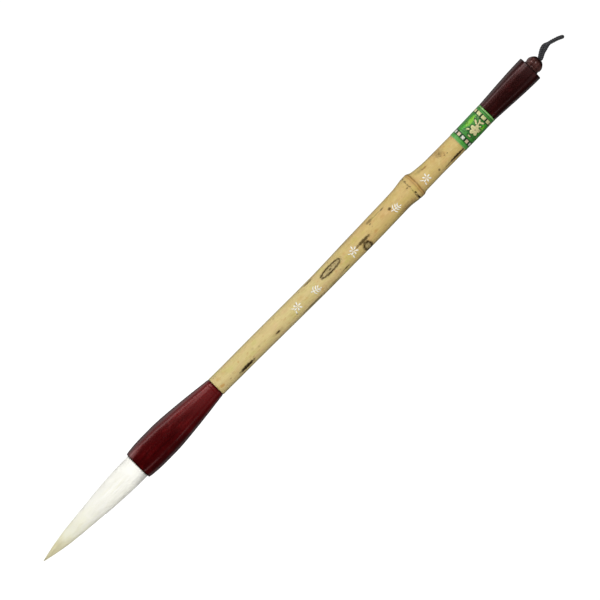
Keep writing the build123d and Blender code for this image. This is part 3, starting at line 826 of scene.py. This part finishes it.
def label_print_and_painted_reflection(u, v, panel, height):
    """Colour of the print and of painted reflections on the foil, at a distance u round the band and v up it.
    The panel repeats round the band.
    """
    u = (u + panel / 2) % panel - panel / 2
    colour = np.ones(u.shape + (4,)) * LEAF

    def ink(mask, shade):
        nonlocal colour
        colour = colour * (1 - mask[..., None]) + shade * mask[..., None]

    # Brighter and darker washes of green in the field between the borders: painted highlights and painted dark
    # reflections of the foil.
    for middle, half_size, shade, strength in (
        ((-3.5, 12.0), (1.5, 4.6), LIME, 1.0),
        ((-4.2, 7.2), (1.0, 2.2), GRASS, 0.8),
        ((3.6, 14.0), (1.5, 3.0), GRASS, 1.0),
        ((3.8, 12.6), (1.0, 2.6), LIME, 1.0),
        ((3.6, 17.6), (2.2, 1.0), LIME, 0.5),
        ((-1.4, 8.4), (1.6, 1.8), DEEP, 0.55),
        ((1.4, 7.4), (2.6, 2.0), DEEP, 0.45),
        ((-1.8, 16.6), (1.6, 1.6), DEEP, 0.6),
    ):
        d = np.hypot((u - middle[0]) / half_size[0], (v - middle[1]) / half_size[1])
        ink(strength * (1 - smooth(0.55, 1.1, d)), shade)
    ink(0.8 * inside(v - 1.7), MEADOW)
    ink(0.6 * inside(v - 0.4), PALE)
    ink(0.75 * inside(np.abs(v - height + 0.55) - 0.32), PALE)
    for line in (4.75, 16.5, height - 1.1):
        ink(0.8 * inside(np.abs(v - line) - 0.16), DEEP)
    # A border of tiles near each end: even ones below, and wide and narrow ones in turn above.
    pitch = panel / 6
    tile = (u + 0.4 + pitch / 2) % pitch - pitch / 2
    ink(inside(np.abs(v - 3.45) - 1.15), DEEP)
    shade = np.where((np.floor((u + 0.4) / pitch + 0.5) % 2 == 0)[..., None], IVORY, BLUSH)
    ink(inside(box_distance(tile, v, (0, 3.45), (0.86, 0.82))), shade)
    pitch = panel / 5
    tile = (u - 0.3 + pitch / 2) % pitch - pitch / 2
    ink(inside(np.abs(v - 17.75) - 1.1), DEEP)
    ink(inside(box_distance(tile, v, (0, 17.75), (1.2, 0.84))), CREAM)
    for speck in (-0.55, 0.05, 0.6):
        ink(0.5 * inside(np.abs(tile - speck) - 0.07) * inside(np.abs(v - 17.75) - 0.6), PALE * 0.6)
    # A blossom on a leafy stem, outlined in dark green, that stands away from the lap.
    flower = (1.45, 10.4)
    petal_turns = [math.radians(102 + 72 * k) for k in range(5)]

    def from_flower(reach, turn):
        return flower[0] + reach * math.cos(turn), flower[1] + reach * math.sin(turn)

    shapes = [oval_distance(u, v, petal_at, size, turn) for petal_at, size, turn in (
        ((0.95, 12.8), (0.42, 1.0), 0.45),
        ((0.45, 14.2), (0.36, 1.0), 0.05),
        ((-0.1, 15.3), (0.4, 0.75), 0.5),
        ((-1.15, 13.6), (1.45, 0.52), -0.55),
        ((1.55, 15.2), (1.35, 0.5), 0.5),
        ((2.1, 13.4), (0.8, 0.34), 0.6),
        ((-1.6, 8.3), (0.95, 0.4), 0.7),
        ((1.3, 6.3), (0.9, 0.36), 0.05),
    )]
    for turn in petal_turns:
        shapes.append(oval_distance(u, v, from_flower(1.6, turn), (1.4, 1.0), turn))
    motif = np.minimum.reduce(shapes)
    ink(inside(motif - 0.26), DEEP)
    ink(inside(motif), CREAM)
    for turn in petal_turns:
        ink(0.55 * inside(oval_distance(u, v, from_flower(1.35, turn), (0.75, 0.14), turn)), BLUSH * 0.75)
    ink(inside(oval_distance(u, v, flower, (0.42, 0.42))), BLUSH * 0.6)
    # Loose curls.
    for middle in ((-2.6, 6.6), (-2.4, 15.0), (3.9, 12.0), (-4.6, 10.0), (4.6, 7.2)):
        curl = oval_distance(u, v, middle, (0.8, 0.8))
        ink(0.75 * inside(np.abs(curl) - 0.15), DEEP)
        ink(0.5 * inside(oval_distance(u, v, (middle[0] + 0.6, middle[1] + 1.0), (0.3, 0.7), 0.5)), PALE)
    return colour


def make_label():
    """One turn of paper and a lap at the back, as a thin closed sheet."""
    columns, rows = 290, 168
    lap, thickness, inset = math.radians(24), 0.10, 0.11
    start = math.pi / 2 - lap / 2
    turns = np.linspace(0, 2 * math.pi + lap, columns)
    turn, z = np.meshgrid(turns, np.linspace(label_low_z, label_top_z, rows))
    inner = label_radius - inset
    lift = 0.115 * smooth(2 * math.pi - 0.08, 2 * math.pi, turn)
    wave = 0.008 * np.sin(5 * turn + 0.5 * z) * np.sin(0.6 * z)
    angle = start + turn
    layers = [about_axis(inner + lift + up + wave, angle, z) + bow_shift(z) for up in (thickness, 0.0)]
    count = rows * columns
    index = np.arange(count).reshape(rows, columns)
    quads = [index[:-1, :-1], index[:-1, 1:], index[1:, 1:], index[1:, :-1]]
    outer = np.stack([q.ravel() for q in quads], 1)
    faces = outer.tolist() + (outer[:, ::-1] + count).tolist()
    border = np.concatenate([index[0, :-1], index[:-1, -1], index[-1, :0:-1], index[:0:-1, 0]])
    ahead = np.roll(border, -1)
    faces += np.stack([ahead, border, border + count, ahead + count], 1).tolist()
    points = np.concatenate([layer.reshape(-1, 3) for layer in layers])
    piece = add_mesh("label_paper", points, faces, label_foil)
    around = (angle - FRONT) * inner - 0.3
    panel = 2 * math.pi * inner / 2
    colour = label_print_and_painted_reflection(around, z - label_low_z, panel, label_top_z - label_low_z)
    bare = np.ones((count, 4)) * np.array(tone(226, 222, 208))
    add_values(piece, "print", np.concatenate([colour.reshape(-1, 4), bare]))
    return piece


stand_in(make_label(), "label_band")


# ---- Tuft ----

def tuft_surface(angle, z):
    """Outer radius of the hair, with fine locks that run down to the point."""
    radius = np.interp(z, tuft_levels, tuft_radii)
    drift = 0.25 * np.sin(z / 19) + 0.12 * np.sin(z / 7 + 2 * np.sin(angle))
    locks = 0.5 * np.cos(31 * (angle + 0.05 * drift)) + 0.35 * np.cos(53 * angle + drift + 1)
    locks = locks + 0.3 * np.cos(83 * angle - 2 * drift)
    broad = 0.5 * np.cos(5 * angle + z / 23) + 0.5 * np.cos(9 * angle - z / 31 + 1)
    depth = 0.055 * smooth(0, 20, z) + 0.012
    held = 1 - 0.7 * smooth(mouth_z - 10, mouth_z, z)
    radius = radius - held * depth * (1 - locks) * 0.6 + 0.035 * held * broad * smooth(0, 30, z)
    return np.clip(radius, 0.02, None)


def meet_root(radius, z, inset):
    """Leads the radius of the hair into the ferrule's mouth, to lie just inside the bound root."""
    flare = smooth(tuft_hinge_z - 6, mouth_z, z)
    return radius * (1 - flare) + (tuft_radius - inset) * flare


def make_tuft():
    """The body of the hair: a closed form from its point to a cup under the bound root."""
    around = 256
    angles = np.linspace(0, 2 * math.pi, around, endpoint=False)
    near_point, above = np.linspace(0.12, 3, 10), np.arange(3.6, mouth_z - 0.1, 0.65)
    heights = np.concatenate([near_point, above, [mouth_z - 0.08]])
    angle, z = np.meshgrid(angles, heights)
    radius = meet_root(tuft_surface(angle, np.minimum(z, tuft_hinge_z)), z, 0.02)
    # The top follows the relief cone and then the ball that the hair turns about.
    ball = tuft_radius - 0.12
    lid = [(ball * math.cos(t), tuft_hinge_z + ball * math.sin(t)) for t in np.radians([41, 50, 60, 70, 80])]
    lids = [about_axis(r, angles, h) for r, h in lid]
    grid = np.concatenate([about_axis(radius, angle, z), lids])
    piece = tube("tuft_hair", grid, (0, 0, 0.02), (0, 0, tuft_hinge_z + ball), hair)
    turn = np.concatenate([angle, np.tile(angles, (len(lids), 1))])
    up = np.concatenate([z, np.full((len(lids), around), mouth_z)])
    add_values(piece, "turn", with_poles(turn))
    add_values(piece, "height", with_poles(up))
    return piece


def make_strands(count=1100):
    """Single hairs that lie on the tuft, so that its surface and outline are hair and not a smooth cone."""
    sides, steps = 3, 12
    points, faces, turn, up = [], [], [], []
    corner = np.linspace(0, 2 * math.pi, sides, endpoint=False)
    for k in range(count):
        high = mouth_z - 0.3 if k % 3 == 0 else rng.uniform(14, mouth_z - 2)
        low = max(0.25, high - rng.uniform(18, 52))
        around = rng.uniform(0, 2 * math.pi)
        sway = rng.normal(0, 0.05)
        stray = 0.0 if rng.random() > 0.04 else rng.uniform(0.1, 0.3)
        thick = rng.uniform(0.035, 0.06)
        t = np.linspace(0, 1, steps)
        z = high + (low - high) * t
        angle = around + sway * np.sin(math.pi * t) + rng.normal(0, 0.01)
        radius = tuft_surface(angle, np.minimum(z, tuft_hinge_z)) + 0.02 + stray * t**3
        radius = meet_root(radius, z, 0.06)
        size = thick * (1 - 0.75 * t) * smooth(-0.05, 0.08, t)
        first = len(points)
        for j in range(steps):
            middle, out = about_axis(radius[j], angle[j], z[j]), about_axis(1, angle[j], 0)
            side = np.array([-out[1], out[0], 0])
            for c in corner:
                points.append(middle + size[j] * (math.cos(c) * side + math.sin(c) * out))
        points += [about_axis(radius[j], angle[j], z[j]) for j in (0, -1)]
        faces += tube_faces(steps, sides, first)
        turn += [around + 0.37 * k] * (steps * sides + 2)
        up += np.repeat(z, sides).tolist() + [z[0], z[-1]]
    piece = add_mesh("tuft_strands", points, faces, hair)
    add_values(piece, "turn", turn)
    add_values(piece, "height", up)
    return piece


for piece in (make_tuft(), make_strands()):
    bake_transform(piece)
    if piece.name == "tuft_hair":
        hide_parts("cover_hair", "core_hair")


# ---- Button ----

# Height above the cap and radius, from the spigot in the cap up to the rim of the cord's hole.
button_profile = [
    (-5.4, 1.72), (-5.4, 2.6), (-0.02, 2.6), (0.0, 3.9), (0.15, 4.16), (0.45, 4.24), (0.8, 4.2), (0.95, 4.08),
    (1.08, 4.06), (1.25, 4.2), (1.7, 4.38), (2.3, 4.46), (3.0, 4.4), (3.6, 4.2), (4.2, 3.88), (4.75, 3.46),
    (5.25, 3.0), (5.65, 2.55), (5.9, 2.15), (5.98, 1.9), (5.93, 1.74), (5.7, 1.69),
]


def make_button():
    """The turned button: a foot, a groove, and a full round ball with the cord's hole down its middle."""
    around = 96
    angles = np.linspace(0, 2 * math.pi, around, endpoint=False)
    profile = np.array(button_profile, float)
    drawn_top = profile[:, 0].max()
    above = profile[:, 0] > 0
    profile[above, 0] = profile[above, 0] * (button_top_z - cap_top_z) / drawn_top
    # The ball's flank is resampled and rounded between these two points of the profile.
    ball_low, ball_top = 9, 19
    length = lengths(profile)
    fine = np.linspace(length[ball_low], length[ball_top], 26)
    ball = np.stack([np.interp(fine, length, profile[:, k]) for k in (0, 1)], 1)
    soften(ball, 6)
    profile = np.concatenate([profile[:ball_low], ball, profile[ball_top + 1:]])
    angle, radius = np.meshgrid(angles, profile[:, 1])
    points = about_axis(radius, angle, cap_top_z + profile[:, :1]).reshape(-1, 3)
    faces = ring_faces(len(profile), around)
    step = np.arange(around)
    ahead = (step + 1) % around
    last = (len(profile) - 1) * around
    faces += np.stack([last + step, last + ahead, ahead, step], 1).tolist()
    return add_mesh("button", points, faces, brown_hardwood)


stand_in(make_button(), "cap_button")


# ---- Cord ----

cord_radius = 0.8
cord_swell = 0.2
# Middle line of the loop as (sideways, up) from its hole, and along it (share, half gap, quarter turns).
loop_middle = [(0, 0), (-0.8, 1.25), (-1.8, 3.0), (-2.6, 5.6), (-2.3, 8.5), (-0.9, 13.0), (0.25, 15.3)]
loop_strands = [
    (0, 0.70, 0), (0.14, 0.74, 0), (0.28, 0.88, 0.15), (0.4, 1.2, 0.6), (0.5, 1.9, 0.95), (0.6, 2.5, 1),
    (0.75, 3.0, 1), (0.88, 2.4, 1), (1, 0, 1),
]
# The strands close in a round end over the last share of the loop.
end_share, end_gap = 0.88, 2.4


def loop_path(side, t):
    """Path of one strand outside, from the mouth of the hole to the top of the loop."""
    knots = np.array(loop_middle, float)
    spacing = lengths(knots)
    spacing /= spacing[-1]
    fine = np.linspace(0, 1, 200)
    x, up = (np.interp(fine, spacing, knots[:, k]) for k in (0, 1))
    soften(x, 60)
    soften(up, 60)
    tangent = np.stack([np.gradient(x), np.gradient(up)], 1)
    tangent /= np.linalg.norm(tangent, axis=1)[:, None]
    shares, gaps, turns = np.array(loop_strands).T
    round_end = end_gap * np.sqrt(np.clip(1 - ((t - end_share) / (1 - end_share)) ** 2, 0, 1))
    gap = np.where(t > end_share, round_end, curve_through(shares, gaps, t))
    turn = curve_through(shares, turns, t) * math.pi / 2
    across_x = -np.interp(t, fine, tangent[:, 1])
    across_z = np.interp(t, fine, tangent[:, 0])
    middle_x, middle_z = np.interp(t, fine, x), loop_hinge_z + np.interp(t, fine, up)
    across, forward = side * gap * np.cos(turn), side * gap * np.sin(turn)
    return np.stack([middle_x + across * across_x, forward, middle_z + across * across_z], 1)


def cord_tube(name, path):
    """Three plies twisted together, swept along a path of points."""
    around, plies, pitch, sharpness = 30, 3, 3.4, 0.17
    tangents = np.gradient(path, axis=0)
    tangents /= np.linalg.norm(tangents, axis=1)[:, None]
    side = np.cross(tangents[0], (0, 1, 0))
    rings, relief = [], []
    phi = np.linspace(0, 2 * math.pi, around, endpoint=False)
    for place, tangent, run in zip(path, tangents, lengths(path)):
        side = side - tangent * (side @ tangent)
        side /= np.linalg.norm(side)
        other = np.cross(tangent, side)
        lobe = np.abs(np.cos(plies / 2 * (phi - 2 * math.pi * run / pitch)))
        free = smooth(loop_hinge_z, loop_hinge_z + 6, place[2])
        radius = (cord_radius + cord_swell * free) * (1 - sharpness + sharpness * lobe)
        rings.append(place + radius[:, None] * (np.cos(phi)[:, None] * side + np.sin(phi)[:, None] * other))
        relief.append(lobe)
    piece = tube(name, np.array(rings), path[0], path[-1], cord)
    # The crest of each ply, for the painted highlight in the cord's material.
    add_values(piece, "ply_crest_highlight", with_poles(np.array(relief)))
    return piece


def make_loop():
    """The loop of cord, from inside the button up over the top and back into the button."""
    leg_low_z = span("cord_knot")[1] + 0.02
    t = 1 - np.linspace(1, 0, 110) ** 1.25
    up_strand, down_strand = loop_path(-1, t), loop_path(1, t)[::-1]
    path = np.concatenate([
        [[up_strand[0, 0], 0, leg_low_z]],
        up_strand,
        down_strand[1:],
        [[down_strand[-1, 0], 0, leg_low_z]],
    ])
    # Even spacing, and a little rounding of the corners.
    for _ in range(3):
        length = lengths(path)
        even = np.linspace(0, length[-1], 300)
        path = np.stack([np.interp(even, length, path[:, k]) for k in range(3)], 1)
        soften(path, 8)
    return cord_tube("cord_loop", path)


loop = make_loop()
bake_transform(loop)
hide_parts("hanging_loop")


# ---- Floor, light and camera ----

def light_path_mix(tree, camera, glossy, other):
    """Strength seen by the camera, by reflections, and by everything else."""
    path = put(tree, "LightPath")
    seen = calc(tree, "MULTIPLY", path.outputs["Is Camera Ray"], camera - other)
    mirrored = calc(tree, "MULTIPLY", path.outputs["Is Glossy Ray"], glossy - other)
    return calc(tree, "ADD", calc(tree, "ADD", seen, mirrored), other)


def make_floor():
    """A wide pale floor just under the point of the tuft. It glows a little, so that it stays white."""
    material = bpy.data.materials.new("studio_floor")
    tree = empty_tree(material)
    strength = light_path_mix(tree, 0.86, 0.0, 0.0)
    glow = put(tree, "Emission", {"Color": tone(255, 255, 255), "Strength": strength})
    matt = put(tree, "BsdfDiffuse", {"Color": tone(205, 205, 205)})
    both = put(tree, "AddShader", {0: glow.outputs[0], 1: matt.outputs[0]})
    put(tree, "OutputMaterial", {"Surface": both.outputs[0]})
    rings, around, reach, step, depth = 24, 96, 6000, 1.3, -0.4
    radii = np.array([reach * step ** -(rings - 1 - k) for k in range(rings)])
    angle, radius = np.meshgrid(np.linspace(0, 2 * math.pi, around, endpoint=False), radii)
    points = np.concatenate([about_axis(radius, angle, depth).reshape(-1, 3), [[0, 0, depth]]])
    faces = [face[::-1] for face in ring_faces(rings, around)]
    faces += [[a, (a + 1) % around, len(points) - 1] for a in range(around)]
    floor = add_mesh("studio_floor", points, faces, material)
    # Reflections and lamps pass through it: a panel that reaches below it still shows in the lacquer.
    floor.visible_glossy = False
    floor.visible_shadow = False


def soft_light(name, azimuth, distance, size, radiance, z=0.19, roll=0.0, glossy=True, diffuse=True):
    """A soft panel that faces the brush. Azimuth 0 is at the camera, and it grows towards +X."""
    data = bpy.data.lights.new(name, "AREA")
    data.shape = "RECTANGLE"
    data.size, data.size_y = size
    data.energy = radiance * math.pi * size[0] * size[1]
    panel = bpy.data.objects.new(name, data)
    turn = math.radians(azimuth)
    place = Vector((distance * math.sin(turn), -distance * math.cos(turn), z))
    aim = Vector((0, 0, z)) - place
    facing = aim.to_track_quat("-Z", "Y").to_matrix().to_4x4()
    panel.matrix_world = Matrix.Translation(place) @ facing @ Matrix.Rotation(math.radians(roll), 4, "Z")
    panel.visible_glossy = glossy
    panel.visible_diffuse = diffuse
    panel.visible_camera = False
    bpy.context.scene.collection.objects.link(panel)


def make_world():
    """White for the camera, dim for the lacquer, and an even light for everything else."""
    world = bpy.data.worlds.new("studio")
    tree = empty_tree(world)
    strength = light_path_mix(tree, 1.05, 0.012, 0.42)
    sky = put(tree, "Background", {"Color": tone(255, 255, 255), "Strength": strength})
    put(tree, "OutputWorld", {"Surface": sky.outputs[0]})
    bpy.context.scene.world = world


make_floor()
make_world()
# Broad light from the front and a weaker one from behind, which don't show in the lacquer.
for name, azimuth, radiance in (("front_fill", -16, 3.3), ("back_fill", -172, 2.3)):
    soft_light(name, azimuth, 0.9, (0.7, 0.9), radiance, glossy=False)
# Panels that are there for their reflections, as (name, azimuth, distance, size, radiance, height, roll).
for panel in (
    # On the left: a leaning strip, a dim sheet, a low one and one at the middle.
    ("left_strip", -81, 1.2, (0.15, 1.2), 2.1, 0.12, -48),
    ("left_sheet", -122, 0.6, (0.42, 1.0), 0.45),
    ("left_low", -88, 1.2, (0.9, 0.3), 1.5, -0.27),
    ("left_middle", -95, 1.2, (1.1, 0.16), 0.4, 0.225),
    # Above the front: a soft one, a wide dim one and one on the right. They show in the ferrule's taper.
    ("front_soft", -54, 1.2, (0.8, 0.22), 2.4, 0.46),
    ("front_wide", -5, 1.2, (2.2, 0.22), 0.4, 0.46),
    ("right_high", 62, 1.2, (0.7, 0.22), 0.4, 0.46),
    # On the right: a low strip for the ferrule's mouth, a middle one for the end cap, and a dim sheet.
    ("right_low", 64, 0.6, (0.06, 0.24), 1.3, -0.08),
    ("right_middle", 66, 1.2, (0.14, 0.1), 1.2, 0.225),
    ("right_sheet", 132, 0.6, (0.2, 1.0), 0.25),
    # A small one high in front for the button, and a strip behind.
    ("button_light", -6, 1.0, (0.3, 0.3), 8.0, 1.25),
    ("back_strip", 178, 0.6, (0.08, 1.0), 1.0),
):
    soft_light(*panel, diffuse=False)


def make_camera():
    """Looks along +Y from far away, rolled so that the brush lies on the picture's diagonal, tip low."""
    data = bpy.data.cameras.new("camera")
    data.lens = 400
    data.sensor_width = 36
    camera = bpy.data.objects.new("camera", data)
    rise = math.radians(45.35)
    right = Vector((math.sin(rise), 0, math.cos(rise)))
    up = Vector((-math.cos(rise), 0, math.sin(rise)))
    back = right.cross(up)
    frame_width = 0.300
    distance = frame_width * data.lens / data.sensor_width
    data.clip_start, data.clip_end = 0.1, 4 * distance
    turned = Matrix((right, up, back)).transposed().to_4x4()
    middle = Vector((-0.00058, 0, 0.18315))
    camera.matrix_world = Matrix.Translation(middle + back * distance) @ turned
    bpy.context.scene.collection.objects.link(camera)
    bpy.context.scene.camera = camera


make_camera()
bpy.context.scene.view_settings.view_transform = "Standard"
